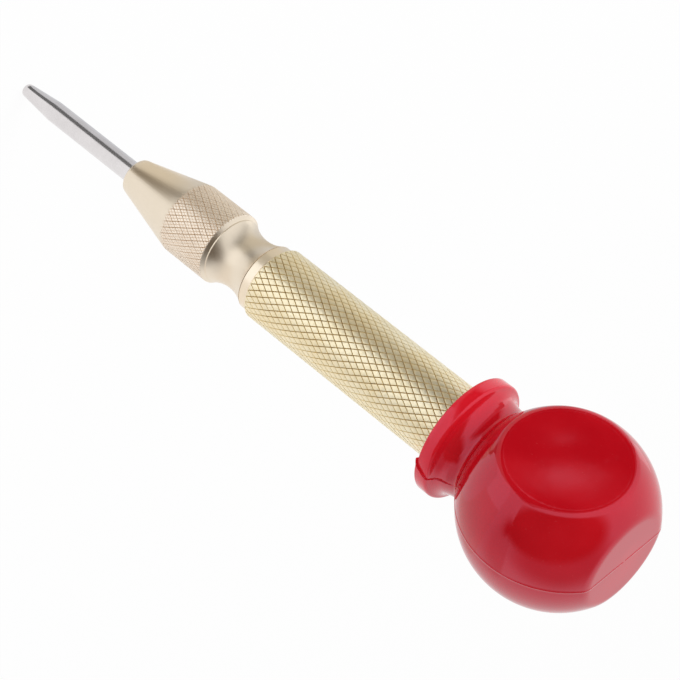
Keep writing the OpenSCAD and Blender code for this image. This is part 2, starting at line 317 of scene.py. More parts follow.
pale_brass = turned_metal(
    "turned_pale_brass", (1.0, 0.90, 0.78, 1), (0.94, 0.82, 0.69, 1), (0.31, 0.41), 0.008,
    groove_shade_and_grime=(0.73, 0.60, 0.46, 1), plain=(0.83, 0.73, 0.59, 1))
barrel_brass = turned_metal(
    "turned_yellow_brass", (1.0, 0.92, 0.70, 1), (0.98, 0.86, 0.58, 1), (0.24, 0.36), 0.008,
    groove_shade_and_grime=(0.66, 0.51, 0.28, 1), plain=(0.92, 0.81, 0.67, 1))
cap_brass = turned_metal(
    "turned_cap_brass", (0.90, 0.80, 0.59, 1), (0.80, 0.69, 0.46, 1), (0.25, 0.4), 0.02)
pin_steel = turned_metal(
    "ground_steel", (0.80, 0.77, 0.77, 1), (0.70, 0.67, 0.67, 1), (0.14, 0.24), 0.006)
inner_steel = turned_metal(
    "turned_steel", (0.52, 0.52, 0.54, 1), (0.40, 0.40, 0.42, 1), (0.25, 0.42), 0.02)
spring_steel = turned_metal(
    "drawn_wire", (0.56, 0.57, 0.60, 1), (0.42, 0.42, 0.44, 1), (0.22, 0.36), 0.01)
metals = (pale_brass, barrel_brass, cap_brass, pin_steel, inner_steel, spring_steel)
print("metals:", [metal.name for metal in metals])

# %% [markdown]
# ### Red plastic
# The ball is moulded in glossy red plastic. Its skin isn't a perfect mirror: it waves slightly
# where the plastic shrank, and handling leaves faint scratches and specks. The lip is thin and lets
# light through; that light is painted, as a red that grows lighter towards the lip.

# %% Plastic finish
DEEP_RED = ((0.45, 0.003, 0.008, 1), (0.51, 0.005, 0.011, 1))
LIP_LIGHT_RED = (0.68, 0.010, 0.020, 1)
SPECK_RED = (0.62, 0.10, 0.10, 1)
MIRROR_TINT = (1.0, 0.45, 0.65, 1)
# Heights between which painted light makes the red lighter
LIP_LIGHT_FADE = (118.5, 113.0)
WAVE_NOISE = (0.16, 2.0, 0.45)
TONE_NOISE = (0.09, 2.0, 0.5)
SPECK_NOISE = (3.2, 2.0, 0.5)
SPECK_SPOTS = (0.68, 0.78)
SCRATCH_NOISE = (1.0, 2.0, 0.6)
SCRATCH_LINES = (0.66, 0.74)
SCRATCH_STRETCH = (0.4, 5.0, 0.5)


def moulded_plastic(name):
    """Glossy plastic with waves, specks and scratches, and painted light towards the lip."""
    material, bench, shader = new_finish(
        name, IOR=1.5, Specular_IOR_Level=1.0, Specular_Tint=MIRROR_TINT)
    even = millimetres(bench)
    waves = noise(bench, even, *WAVE_NOISE)
    specks = noise(bench, even, *SPECK_NOISE).ramp(*SPECK_SPOTS)
    stretched = millimetres(bench, SCRATCH_STRETCH)
    scratches = noise(bench, stretched, *SCRATCH_NOISE).ramp(*SCRATCH_LINES)
    tone = noise(bench, even, *TONE_NOISE).ramp(*NOISE_MIDDLE)
    solid = blend_colours(bench, tone, *DEEP_RED)
    height = bench.other(bench.node("ShaderNodeSeparateXYZ", even), "Z")
    # Painted light: the red is painted lighter towards the lip, for light coming through the thin plastic.
    with_lip_light = blend_colours(bench, height.ramp(*LIP_LIGHT_FADE), solid, LIP_LIGHT_RED)
    bench.put(shader, "Base Color", blend_colours(bench, specks * 0.25, with_lip_light, SPECK_RED))
    bench.put(shader, "Roughness", 0.045 + 0.03 * tone + 0.12 * specks + 0.08 * scratches)
    skin = waves + specks * 0.08 - scratches * 0.04
    bench.put(shader, "Normal", bump(bench, skin, strength=0.5, depth=0.02))
    return material


red_plastic = moulded_plastic("moulded_red_plastic")
print("plastic:", red_plastic.name)

# %% [markdown]
# ## Turned pieces
# A lathe turns a profile about the axis. Here the profile is a list of (radius, height) points, and
# each point becomes a ring of vertices. Rings are joined into quads, and a point on the axis
# becomes a pole.

# %% Lathe helpers


def spread(start, stop, steps):
    """Even steps from one value to another, with both of them."""
    return [start + (stop - start) * k / steps for k in range(steps + 1)]


def arc(centre, radius, start, stop, steps):
    """Points of an arc in the profile plane, with angles in degrees from the outward radius."""
    turns = [radians(turn) for turn in spread(start, stop, steps)]
    return [(centre[0] + radius * cos(t), centre[1] + radius * sin(t)) for t in turns]


def on_circle(radius, z, turns):
    """Places at the given angles on a circle about the axis."""
    return [(radius * cos(t), radius * sin(t), z) for t in turns]


def add_ring(mesh, places):
    """Vertices at places in millimetres."""
    return [mesh.verts.new([v * MM for v in place]) for place in places]


def ring(mesh, radius, z, turns):
    """A ring of vertices, or one vertex where the radius is 0."""
    return add_ring(mesh, on_circle(radius, z, turns) if radius else [(0, 0, z)])


def join_rings(mesh, rings):
    """Quads between rings that follow each other, or triangles at a pole."""
    for first, second in zip(rings, rings[1:]):
        count = max(len(first), len(second))
        for k in range(count):
            after = (k + 1) % count
            corners = [first[k % len(first)], first[after % len(first)]]
            corners += [second[after % len(second)], second[k % len(second)]]
            mesh.faces.new(dict.fromkeys(corners))


def as_piece(name, mesh, material, sharp_angle):
    """An object from a bmesh, with smooth faces and sharp edges past an angle."""
    bmesh.ops.recalc_face_normals(mesh, faces=mesh.faces[:])
    for face in mesh.faces:
        face.smooth = True
    for edge in mesh.edges:
        edge.smooth = edge.calc_face_angle(0) < radians(sharp_angle)
    data = bpy.data.meshes.new(name)
    mesh.to_mesh(data)
    mesh.free()
    data.materials.append(material)
    print(name, "has", len(data.polygons), "faces")
    return new_object(name, data)


print("lathe ready")

# %% [markdown]
# ## The pin
# The pin is ground steel with a short taper to a blunt point. Behind the nose it has a thinner
# shank that is pressed into the plunger. A lathe with small rounded edges gives all of it.

# %% Pin
point_len = 8.2
point_r = 1.3
point_round = 0.55
shank_r = 1.4
shank_len = 3.8
pin_shoulder_z = pin_end_z - shank_len
taper_round = 6.0
pin_columns = 96


def pin_profile():
    """From the point over the taper and along the pin to the end of the shank."""
    taper = degrees(atan((pin_r - point_r) / point_len))
    blend = taper_round * tan(radians(taper / 2))
    point_middle = (point_r - point_round, pin_z + point_round)
    taper_middle = (pin_r - taper_round, pin_z + point_len + blend)
    return [
        (0, pin_z),
        *arc(point_middle, point_round, -90, -taper, steps=8),
        *arc(taper_middle, taper_round, -taper, 0, steps=6),
        (pin_r, pin_shoulder_z),
        (shank_r, pin_shoulder_z),
        (shank_r, pin_end_z),
        (0, pin_end_z),
    ]


pin_turns = spread(0, 2 * pi, pin_columns)[:-1]
pin_mesh = bmesh.new()
join_rings(pin_mesh, [ring(pin_mesh, r, z, pin_turns) for r, z in pin_profile()])
pin = as_piece("pin", pin_mesh, pin_steel, sharp_angle=40)
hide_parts("punch_tip")
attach(pin, "punch")

# %% [markdown]
# ## Geometry Nodes
# Knurling and springs follow a rule, so Geometry Nodes make them: trees with named inputs, which
# can be run again with other sizes. Four helpers set up a tree, read and set the places of its
# points, and end it with its material.

# %% Helpers for Geometry Nodes


def new_tree(name, inputs):
    """A Geometry Nodes tree with named inputs, its bench and a wire per input."""
    tree = bpy.data.node_groups.new(name, "GeometryNodeTree")
    tree.interface.new_socket("Geometry", in_out="OUTPUT", socket_type="NodeSocketGeometry")
    for kind, labels in inputs.items():
        for label in labels:
            tree.interface.new_socket(label, in_out="INPUT", socket_type="NodeSocket" + kind)
    bench = Bench(tree)
    group = bench.node("NodeGroupInput")
    return tree, bench, {label: bench.other(group, label) for label in sum(inputs.values(), ())}


def end_tree(bench, geometry, finish):
    """Gives the geometry its material and hands it out of the tree."""
    finished = bench.node("GeometryNodeSetMaterial", Geometry=geometry, Material=finish)
    bench.node("NodeGroupOutput", Geometry=finished)


def split_position(bench):
    """The three coordinates of each point's place."""
    place = bench.node("ShaderNodeSeparateXYZ", bench.node("GeometryNodeInputPosition"))
    return [bench.other(place, axis) for axis in "XYZ"]


def moved(bench, geometry, *place):
    """The geometry with its points at new places."""
    place = bench.node("ShaderNodeCombineXYZ", *place)
    return bench.node("GeometryNodeSetPosition", Geometry=geometry, Position=place)


print("Geometry Nodes helpers ready")

# %% [markdown]
# ## Knurling
# A knurling tool presses two sets of crossed helical grooves into the brass and leaves diamonds.
# The pattern could be a bump in the finish, but it shows on the outline, so it is real geometry.
# Geometry Nodes make one diamond from a grid cell, set it in staggered rows on a flat strip, and
# roll the strip into a tube. The nose has finer knurling: there each diamond is parted once more,
# so its cell has two by two faces.

# %% The knurl as a node tree
KNURL_INPUTS = {
    "Int": ("Starts", "Periods", "Cells"),
    "Float": ("Radius", "Start height", "Period", "Groove depth", "Shoulder share",
              "Shoulder level", "Land share"),
    "Material": ("Finish",),
}
weld_gap = 0.005


def stepped_up(bench, mesh, rise, share, apart, **chosen):
    """Faces raised by a height and drawn in to a share of their size, and which are on top."""
    raised = bench.node("GeometryNodeExtrudeMesh", mode="FACES", Mesh=mesh, Offset_Scale=rise,
                        Individual=apart, **chosen)
    top = bench.other(raised, "Top")
    drawn_in = bench.node("GeometryNodeScaleElements", domain="FACE", Geometry=raised,
                          Selection=top, Scale=share)
    return drawn_in, top


def knurl_tree():
    tree, bench, given = new_tree("rolled_knurl", KNURL_INPUTS)
    starts, period, depth = given["Starts"], given["Period"], given["Groove depth"]

    # One diamond: a unit grid cell is raised to the shoulder, each of its faces to its own land
    corners = given["Cells"] + 1
    cell = bench.node("GeometryNodeMeshGrid", Vertices_X=corners, Vertices_Y=corners)
    shoulder = depth * given["Shoulder level"]
    block, top = stepped_up(bench, cell, shoulder, given["Shoulder share"], False)
    lands, _ = stepped_up(bench, block, depth - shoulder, given["Land share"], True, Selection=top)

    # The square cell becomes a rhombus on the strip: its width is an angle, its height a length
    across, along, level = split_position(bench)
    width = 2 * pi / starts
    diamond = moved(
        bench, lands, (across - along) * width * 0.5, (across + along) * period * 0.5, level)

    # Staggered rows of points, each with one diamond
    index = bench.node("GeometryNodeInputIndex")
    row = (index / starts).math("FLOOR")
    around = (index % starts + (row % 2) * 0.5) * width
    spot = bench.node("ShaderNodeCombineXYZ", around, row * period * 0.5)
    count = (given["Periods"] * 2 + 1) * starts
    points = bench.node("GeometryNodePoints", Count=count, Position=spot)
    strip = bench.node("GeometryNodeInstanceOnPoints", Points=points, Instance=diamond)
    flat = bench.node("GeometryNodeRealizeInstances", Geometry=strip)

    # The strip remembers where its lands are and is rolled round the axis
    turn, length, level = split_position(bench)
    marked = bench.node("GeometryNodeStoreNamedAttribute", data_type="FLOAT", domain="POINT",
                        Geometry=flat, Name="land", Value=level / depth)
    radius = given["Radius"] - depth + level
    rolled = moved(
        bench, marked, radius * turn.math("COSINE"), radius * turn.math("SINE"),
        length + given["Start height"])
    welded = bench.node("GeometryNodeMergeByDistance", Geometry=rolled, Distance=weld_gap * MM)
    end_tree(bench, welded, given["Finish"])
    return tree


rolled_knurl = knurl_tree()
print("knurl tree has", len(rolled_knurl.nodes), "nodes")

# %% [markdown]
# A modifier's inputs are set by their identifiers before the object is first evaluated, and the
# result is copied into a plain mesh. Its first and last rows are cut through the middle of their
# diamonds, which leaves a plain ring at each end, ready to be joined to the turned profile.

# %% From node tree to mesh
knurl_starts = 35
cut_slack = 1e-6
end_slack = 0.01


def grown_mesh(tree, values):
    """Plain bmesh that a Geometry Nodes tree makes for the given inputs."""
    seed = new_object("seed", bpy.data.meshes.new("seed"))
    modifier = seed.modifiers.new("nodes", "NODES")
    modifier.node_group = tree
    for item in tree.interface.items_tree:
        if item.in_out == "INPUT":
            modifier[item.identifier] = values[item.name]
    seed.update_tag()
    bpy.context.view_layer.update()
    depsgraph = bpy.context.evaluated_depsgraph_get()
    grown = bpy.data.meshes.new_from_object(seed.evaluated_get(depsgraph), depsgraph=depsgraph)
    bpy.data.objects.remove(seed)
    mesh = bmesh.new()
    mesh.from_mesh(grown)
    bpy.data.meshes.remove(grown)
    return mesh


def cut_across(mesh, z, outward=1, clear=False):
    """Cuts a mesh at a height, and drops what lies beyond the cut if asked to."""
    bmesh.ops.bisect_plane(
        mesh, geom=mesh.verts[:] + mesh.edges[:] + mesh.faces[:], dist=cut_slack,
        plane_co=(0, 0, z * MM), plane_no=(0, 0, outward), clear_outer=clear)


def angle_of(vertex):
    return atan2(vertex.co.y, vertex.co.x)


def knurled_tube(start_z, end_z, radius, periods, cells, depth, finish, **shares):
    """Knurled tube as a bmesh, with its open front and rear rings in order of angle."""
    mesh = grown_mesh(rolled_knurl, {
        "Starts": knurl_starts, "Periods": periods, "Cells": cells, "Radius": radius * MM,
        "Start height": start_z * MM, "Period": (end_z - start_z) / periods * MM,
        "Groove depth": depth * MM, "Finish": finish, **shares})
    pressed = mesh.verts.layers.float.new("pressed")
    for vertex in mesh.verts:
        vertex[pressed] = 1.0
    cut_across(mesh, start_z, -1, clear=True)
    cut_across(mesh, end_z, 1, clear=True)
    ends = []
    for z in (start_z, end_z):
        edge = [v for v in mesh.verts if v.is_boundary and abs(v.co.z / MM - z) < end_slack]
        ends.append(sorted(edge, key=lambda v: angle_of(v) % (2 * pi - cut_slack)))
    print("knurled tube has", len(mesh.faces), "faces and ends of", [len(end) for end in ends])
    return mesh, ends


def close_tube(mesh, ends, profile):
    """Joins the rear ring of a knurled tube to its front ring along a turned profile."""
    front, rear = ends
    land = mesh.verts.layers.float["land"]
    turns = [angle_of(vertex) for vertex in rear]
    rings = [ring(mesh, r, z, turns) for r, z in profile]
    for vertex in (v for one in rings for v in one):
        vertex[land] = 1.0
    join_rings(mesh, [rear] + rings + [front])


print("knurl helpers ready")

# %% [markdown]
# ## The nose
# The nose is pale brass: a smooth cone with a rounded front edge, a band of fine knurling, a bright
# chamfer and a polished waist. The cone is turned after the knurling and cuts into its front, so
# the grooves run out there. Inside, the nose guides the pin, holds the plunger's chamber and screws
# onto the spigot.

# %% Sizes of the nose
nose_front_r = 3.5
nose_edge = 0.6
cone_len = 13.9
cone_r = 6.65
cone_step_len = 0.6
cone_support = 0.25
nose_band_r = 6.95
nose_band_len = 11.4
band_chamfer = 0.62
chamfer_land = 0.22
waist_r = 5.2
chamber_r = 3.6
guide_gap = 0.06
guide_r = pin_r + guide_gap
guide_len = 8.0
mouth_chamfer = 0.25
blind_gap = 0.2
thread_gap = 0.05

cone_flank = atan((cone_r - nose_front_r) / cone_len)
cone_end_z = nose_z + cone_len
band_end_z = cone_end_z + nose_band_len
waist_half = (joint_z - band_end_z) / 2
waist_drop = ring_r - waist_r
cove_r = (waist_half ** 2 + waist_drop ** 2) / (2 * waist_drop)
chamfer_end_r = nose_band_r - band_chamfer
chamfer_swing = acos((waist_r + cove_r - chamfer_end_r) / cove_r)
chamfer_end_z = band_end_z + waist_half - cove_r * sin(chamfer_swing)
nose_knurl_end_z = chamfer_end_z - chamfer_land - band_chamfer
print("the waist is a cove of", round(cove_r, 2), "mm radius")

# %% [markdown]
# The knurled band is made first. Its front is turned down to the cone, and one profile then joins
# its rear ring to its front ring: over the waist, in through the bores and back over the cone.

# %% Nose
RUN_OUT_CUTS = (0.33, 0.67, 1.0)
CHAMFER_RINGS = (0.2, 1.0)


def cone_radius(z):
    """Radius of the turned cone, which runs on into the front of the knurled band."""
    return cone_r + (z - cone_end_z + cone_step_len) * tan(cone_flank)


def turn_cone(mesh):
    """Turns the front of the knurled band down to the cone, so that its grooves run out there."""
    land = mesh.verts.layers.float["land"]
    pressed = mesh.verts.layers.float["pressed"]
    run_out = (nose_band_r - cone_radius(cone_end_z)) / tan(cone_flank)
    for share in RUN_OUT_CUTS:
        cut_across(mesh, cone_end_z + share * run_out)
    for vertex in mesh.verts:
        limit = cone_radius(vertex.co.z / MM) * MM
        if vertex.co.xy.length >= limit:
            vertex.co.xy *= limit / vertex.co.xy.length
            vertex[land] = 1.0
            vertex[pressed] = 0.0


def nose_profile():
    """From the rear of the knurling over the waist, through the bores and back over the cone."""
    chamfer = [share * band_chamfer for share in CHAMFER_RINGS]
    waist_middle = (waist_r + cove_r, band_end_z + waist_half)
    waist_from = 180 + degrees(chamfer_swing)
    waist_to = 180 - degrees(asin(waist_half / cove_r))
    front_middle = (nose_front_r - nose_edge, nose_z + nose_edge)
    cone_rear = (cone_end_z - 2 * cone_support, cone_end_z - cone_support)
    return [
        *[(nose_band_r - cut, nose_knurl_end_z + cut) for cut in chamfer],
        *arc(waist_middle, cove_r, waist_from, waist_to, steps=28),
        (spigot_r + thread_gap, joint_z),
        (spigot_r + thread_gap, spigot_z - blind_gap),
        (chamber_r, spigot_z - blind_gap),
        (chamber_r, nose_z + guide_len),
        (guide_r, nose_z + guide_len),
        (guide_r, nose_z + mouth_chamfer),
        (guide_r + mouth_chamfer, nose_z),
        *arc(front_middle, nose_edge, -90, -degrees(cone_flank), steps=8),
        *[(cone_radius(z), z) for z in cone_rear],
    ]


nose_mesh, nose_ends = knurled_tube(
    cone_end_z, nose_knurl_end_z, nose_band_r, periods=5, cells=2, depth=0.15, finish=pale_brass,
    **{"Shoulder share": 0.93, "Shoulder level": 0.5, "Land share": 0.82})
turn_cone(nose_mesh)
close_tube(nose_mesh, nose_ends, nose_profile())
nose = as_piece("nose", nose_mesh, pale_brass, sharp_angle=12)
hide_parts("nose_cap")
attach(nose, "barrel")

# %% [markdown]
# ## The barrel
# The barrel is yellower brass with coarse knurling that runs on under the ball's skirt, so that it
# still shows when the ball is screwed out. In front it has a plain ring and the spigot for the
# nose, with the throat that centres the stem.

# %% Barrel
barrel_r = 7.0
barrel_rear_r = 6.8
bore_r = 5.2
ring_len = 1.7
ring_bevel = 0.5
ring_edge = 0.12
barrel_chamfer = 0.35
throat_r = 2.01
throat_lead = 0.28
throat_len = 1.8
relief_r = 2.44
rear_thread_r = 5.5
rear_thread_len = 14.4
barrel_knurl_z = joint_z + ring_len + ring_bevel
barrel_knurl_period = 2.155
barrel_knurl_periods = 24
barrel_knurl_end_z = barrel_knurl_z + barrel_knurl_period * barrel_knurl_periods


def barrel_profile():
    """From the rear of the knurling over the rear face, through the bore to the front ring."""
    return [
        (barrel_rear_r, barrel_knurl_end_z + ring_bevel),
        (barrel_rear_r, barrel_end_z - barrel_chamfer),
        (barrel_rear_r - barrel_chamfer, barrel_end_z),
        (rear_thread_r, barrel_end_z),
        (rear_thread_r, barrel_end_z - rear_thread_len),
        (bore_r, barrel_end_z - rear_thread_len),
        (bore_r, barrel_knurl_z),
        (relief_r, barrel_knurl_z),
        (relief_r, spigot_z + throat_len),
        (throat_r, spigot_z + throat_len),
        (throat_r, spigot_z + throat_lead),
        (throat_r + throat_lead, spigot_z),
        (spigot_r - barrel_chamfer, spigot_z),
        (spigot_r, spigot_z + barrel_chamfer),
        (spigot_r, joint_z),
        (ring_r - ring_edge, joint_z),
        (ring_r, joint_z + ring_edge),
        (ring_r, joint_z + ring_len),
    ]


barrel_mesh, barrel_ends = knurled_tube(
    barrel_knurl_z, barrel_knurl_end_z, barrel_r, barrel_knurl_periods, cells=1, depth=0.24,
    finish=barrel_brass, **{"Shoulder share": 0.84, "Shoulder level": 0.9, "Land share": 0.55})
close_tube(barrel_mesh, barrel_ends, barrel_profile())
barrel = as_piece("knurled_barrel", barrel_mesh, barrel_brass, sharp_angle=12)
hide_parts("barrel")
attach(barrel, "barrel")

# %% [markdown]
# ## The ball grip
# The ball is moulded in two halves. It has a thin lip, a coved neck, two shallow side dishes and a
# flat rear, all with rounded edges. Seen from its centre, every point of the ball has one distance,
# so it is worked out along each direction as the least of sphere, rear flat and side dish.

# %% Ball outline
ball_r = 16.4
rear_flat = 13.9
rear_edge = 2.6
side_flat = 12.0
side_edge = 1.5
dish_r = 200.0
ball_z = rear_z - rear_flat
rear_reach = ball_r - rear_edge
side_reach = ball_r - side_edge

rear_edge_turn = acos((rear_flat - rear_edge) / rear_reach)
rear_flat_turn = atan2(rear_reach * sin(rear_edge_turn), rear_flat)
dish_centre = side_flat + dish_r
side_edge_turn = acos(
    (dish_centre ** 2 + side_reach ** 2 - (dish_r + side_edge) ** 2)
    / (2 * dish_centre * side_reach))
rim_share = dish_r / (dish_r + side_edge)
side_dish_turn = atan2(
    rim_share * side_reach * sin(side_edge_turn),
    dish_centre + rim_share * (side_reach * cos(side_edge_turn) - dish_centre))


def flat_distance(turn):
    """Distance to the rear flat at an angle from the axis."""
    return rear_flat / cos(turn)


def dish_distance(turn):
    """Distance to a side dish at an angle from the line to its middle."""
    return dish_centre * cos(turn) - sqrt(dish_r ** 2 - (dish_centre * sin(turn)) ** 2)


def cut_distance(turn, flat, flat_turn, edge, edge_turn):
    """Distance at an angle from a flat's middle: to the flat, its rounded edge or the sphere."""
    if turn < flat_turn:
        return flat(turn)
    if turn >= edge_turn:
        return ball_r
    across = (ball_r - edge) * sin(turn - edge_turn)
    return (ball_r - edge) * cos(turn - edge_turn) + sqrt(max(0.0, edge ** 2 - across ** 2))


def ball_distance(direction):
    lean = acos(max(-1.0, min(1.0, direction.z)))
    swing = acos(min(1.0, abs(direction.y)))
    rear = cut_distance(lean, flat_distance, rear_flat_turn, rear_edge, rear_edge_turn)
    side = cut_distance(swing, dish_distance, side_dish_turn, side_edge, side_edge_turn)
    return min(rear, side)


print("ball centre at", round(ball_z, 2), "mm")

# %% [markdown]
# Lip and neck are turned. A steep cove leads from the lip's rounded rear down to the neck, and a
# fillet leads from the neck up to the ball.

# %% Lip and neck outline
lip_r = 11.0
lip_edge = 0.35
lip_round = 0.6
lip_steep = 75
lip_len = 2.7
lip_to_ball = 20.9
neck_cove_r = 2.0
cove_ease = 12
neck_r = 8.8
neck_fillet = 1.4
neck_steps = 10
lip_z = ball_z - lip_to_ball
lip_end_z = lip_z + lip_len
neck_z = ball_z - sqrt(ball_r ** 2 - neck_r ** 2)
fillet_r = neck_r + neck_fillet
fillet_reach = ball_r + neck_fillet
fillet_z = ball_z - sqrt(fillet_reach ** 2 - fillet_r ** 2)


def lip_and_neck():
    """From the lip's front edge over its rear, down the cove and along the neck to the ball."""
    steep = radians(lip_steep)
    front = arc((lip_r - lip_edge, lip_z + lip_edge), lip_edge, -90, 0, steps=6)
    round_z = lip_end_z - lip_round * sin(steep)
    back = arc((lip_r - lip_round, round_z), lip_round, 0, lip_steep, steps=8)
    r, z = back[-1]
    cove_middle = (r + neck_cove_r * cos(steep), z + neck_cove_r * sin(steep))
    cove = arc(cove_middle, neck_cove_r, 180 + lip_steep, 180 + cove_ease, steps=20)
    r, z = cove[-1]
    shares = spread(0, 1, neck_steps)[1:]
    neck = [(neck_r + (r - neck_r) * (1 - s) ** 2, z + (fillet_z - z) * s) for s in shares]
    lean = degrees(asin((ball_z - fillet_z) / fillet_reach))
    fillet = arc((fillet_r, fillet_z), neck_fillet, 180, 180 - lean, steps=18)
    return front + back + cove[1:] + neck + fillet[1:]


print("lip at", round(lip_z, 2), "mm, neck meets the ball at", round(neck_z, 2), "mm")

# %% [markdown]
# The mould parts in the plane through the axis and between the dishes. It leaves a fine raised line
# there. On the lip the parting line strays, the two halves miss each other by a step, and the front
# edge is torn to a small spike. Extra columns of vertices close to the line carry all of this.

# %% Parting line
RIDGE_COLUMNS = (-0.5, -0.24, -0.11, -0.035, 0.035, 0.11, 0.24, 0.5)
ridge_height = 0.07
ridge_half = 0.15
plain_columns = 150
least_column_r = 3.0
# Heights on the lip and neck, and how far the parting line strays there
PARTING_PATH = (
    (lip_z, -2.3), (lip_z + 0.4, -0.9), (lip_end_z + 0.4, 0.85), (lip_end_z + 2.4, 0.9),
    (neck_z, 0.0),
)


def parting_offset(z):
    """How far the parting line strays from its plane on the lip and neck."""
    for (z0, y0), (z1, y1) in zip(PARTING_PATH, PARTING_PATH[1:]):
        if z <= z1:
            return y0 + (y1 - y0) * max(0.0, (z - z0) / (z1 - z0))
    return 0.0


def column_turns(radius, stray=0.0):
    """Angles of the columns on a ring: fine ones beside the parting line, even ones between."""
    fine = [offset / max(radius, least_column_r) for offset in RIDGE_COLUMNS]
    parting = stray / max(radius, least_column_r)
    turns = []
    for start, stop in ((parting, pi), (pi, 2 * pi + parting)):
        low = start + fine[-1]
        step = (stop + fine[0] - low) / (plain_columns + 1)
        turns += [start + turn for turn in fine]
        turns += [low + step * (k + 1) for k in range(plain_columns)]
    return turns


def parting_ridge(y):
    """Height of the raised parting line at a distance from the parting plane."""
    return ridge_height * max(0.0, 1 - (abs(y) / ridge_half) ** 2)


print("each ring of the ball has", len(column_turns(ball_r)), "columns")

# %% [markdown]
# The ball is one closed skin. Its rings of vertices run from the end cap's pocket along the skirt,
# round the lip and over neck and ball to a pole in the middle of the rear flat.

# %% Ball grip
skirt_r = 7.3
skirt_len = 18.4
pocket_r = 7.01
cap_z = lip_z + skirt_len
ball_rings = 150
edge_rings = 8
flat_rings = 20
lip_shift = 0.35
spike_reach = 0.3
spike_len = 0.9


def lip_ring(radius, z):
    """A ring of the lip or neck. Its second half stands off the first and has a torn spike."""
    stray = parting_offset(z)
    off = lip_shift * max(0.0, min(1.0, (neck_z - z) / (neck_z - lip_end_z)))
    front = max(0.0, 1 - (z - lip_z) / lip_edge)
    places = on_circle(radius, z, column_turns(radius, stray))
    first = len(RIDGE_COLUMNS) // 2
    for k in range(first, first + len(places) // 2):
        x, y, _ = places[k]
        if x > -off / 2:
            torn = front * max(0.0, 1 - (y - stray) / spike_len) ** 2
            places[k] = (x + off, y, z - spike_reach * torn)
    return places


def ball_ring(lean):
    """A ring of the ball at an angle from the rear, pushed in to its flats."""
    places = []
    for turn in column_turns(ball_r * sin(lean)):
        direction = Vector(on_circle(sin(lean), cos(lean), [turn])[0])
        place = direction * ball_distance(direction)
        place += direction * parting_ridge(place.y)
        places.append(place + Vector((0, 0, ball_z)))
    return places


def grip_mesh():
    """Rings from the cap's pocket along the skirt, round the lip and over the ball to its rear."""
    mesh = bmesh.new()
    inside = [
        (0, cap_end_z), (pocket_r, cap_end_z), (pocket_r, cap_z), (skirt_r, cap_z),
        (skirt_r, lip_end_z), (skirt_r, lip_z + lip_edge), (skirt_r + lip_edge, lip_z),
    ]
    neck_lean = pi - asin(fillet_r / fillet_reach)
    leans = spread(neck_lean, rear_edge_turn, ball_rings)[1:]
    leans += spread(rear_edge_turn, rear_flat_turn, edge_rings)[1:]
    leans += spread(rear_flat_turn, 0, flat_rings)[1:-1]
    rings = [ring(mesh, r, z, column_turns(r)) for r, z in inside]
    rings += [add_ring(mesh, lip_ring(r, z)) for r, z in lip_and_neck()]
    rings += [add_ring(mesh, ball_ring(lean)) for lean in leans]
    rings.append(ring(mesh, 0, rear_z, ()))
    join_rings(mesh, rings)
    return mesh


grip = as_piece("ball_handle", grip_mesh(), red_plastic, sharp_angle=50)
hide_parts("ball_grip")
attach(grip, "adjuster")

# %% [markdown]
# ## The springs
# Both springs are wire wound on a helix with closed end turns. A spiral curve in Geometry Nodes
# follows the rule, its heights are eased towards both ends, the turns that are asked for are kept,
# and a round wire is swept along them.

# %% Spring tree
SPRING_INPUTS = {
    "Float": ("Turns", "First turn", "Last turn", "Wire radius", "Coil radius", "Start height",
              "Length", "End pitch"),
    "Material": ("Finish",),
}
steps_per_turn = 48
wire_sides = 12


def spring_tree():
    tree, bench, given = new_tree("wound_spring", SPRING_INPUTS)
    turns, wire_r, end_pitch = given["Turns"], given["Wire radius"], given["End pitch"]
    spiral = bench.node(
        "GeometryNodeCurveSpiral", Resolution=steps_per_turn, Rotations=turns, Height=turns,
        Start_Radius=given["Coil radius"], End_Radius=given["Coil radius"])
    kept = bench.node(
        "GeometryNodeTrimCurve", mode="FACTOR", Curve=spiral,
        Start=given["First turn"] / turns, End=given["Last turn"] / turns)
    x, y, turn = split_position(bench)
    open_pitch = (given["Length"] - wire_r * 2 - end_pitch * 2) / (turns - 2)
    lower = turn.math("MINIMUM", 1.0) * end_pitch
    upper = (turn - turns + 1).math("MAXIMUM", 0.0) * end_pitch
    middle = (turn - 1).math("MAXIMUM", 0.0).math("MINIMUM", turns - 2) * open_pitch
    height = lower + middle + upper + wire_r + given["Start height"]
    wound = moved(bench, kept, x, y, height)
    section = bench.node("GeometryNodeCurvePrimitiveCircle", mode="RADIUS",
                         Resolution=wire_sides, Radius=wire_r)
    wire = bench.node(
        "GeometryNodeCurveToMesh", Curve=wound, Profile_Curve=section, Fill_Caps=True)
    real = bench.node("GeometryNodeRealizeInstances", Geometry=wire)
    end_tree(bench, real, given["Finish"])
    return tree


wound_spring = spring_tree()
print("spring tree has", len(wound_spring.nodes), "nodes")

# %% [markdown]
# The light spring shortens against its seat when the pin goes in, but here it is attached to the
# barrel and keeps its shape. The heavy spring is pressed from both ends, by the hammer and by the
# screwed seat, so it is drawn as two lengths that meet in the middle of a turn: the front one is
# attached to the barrel, the rear one gives way between barrel and seat.

# %% Both springs
end_air = 0.55
light_turns = 6
light_wire_d = 0.5
heavy_turns = 9
heavy_wire_d = 1.3
heavy_split = 5.5
split_air = 0.0015


def spring(name, node, turns, wire_d, first, last):
    """Some turns of a wound spring in the place of a node of the frame."""
    low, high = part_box(node)
    mesh = grown_mesh(wound_spring, {
        "Turns": float(turns), "First turn": float(first), "Last turn": float(last),
        "Wire radius": wire_d / 2 * MM, "Coil radius": high.x - wire_d / 2 * MM,
        "Start height": low.z, "Length": high.z - low.z, "End pitch": (wire_d + end_air) * MM,
        "Finish": spring_steel})
    piece = as_piece(name, mesh, spring_steel, sharp_angle=60)
    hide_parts(node)
    return piece


def press(piece):
    """Attaches a spring to the barrel and gives it a mesh of its own."""
    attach(piece, "barrel")
    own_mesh(piece)


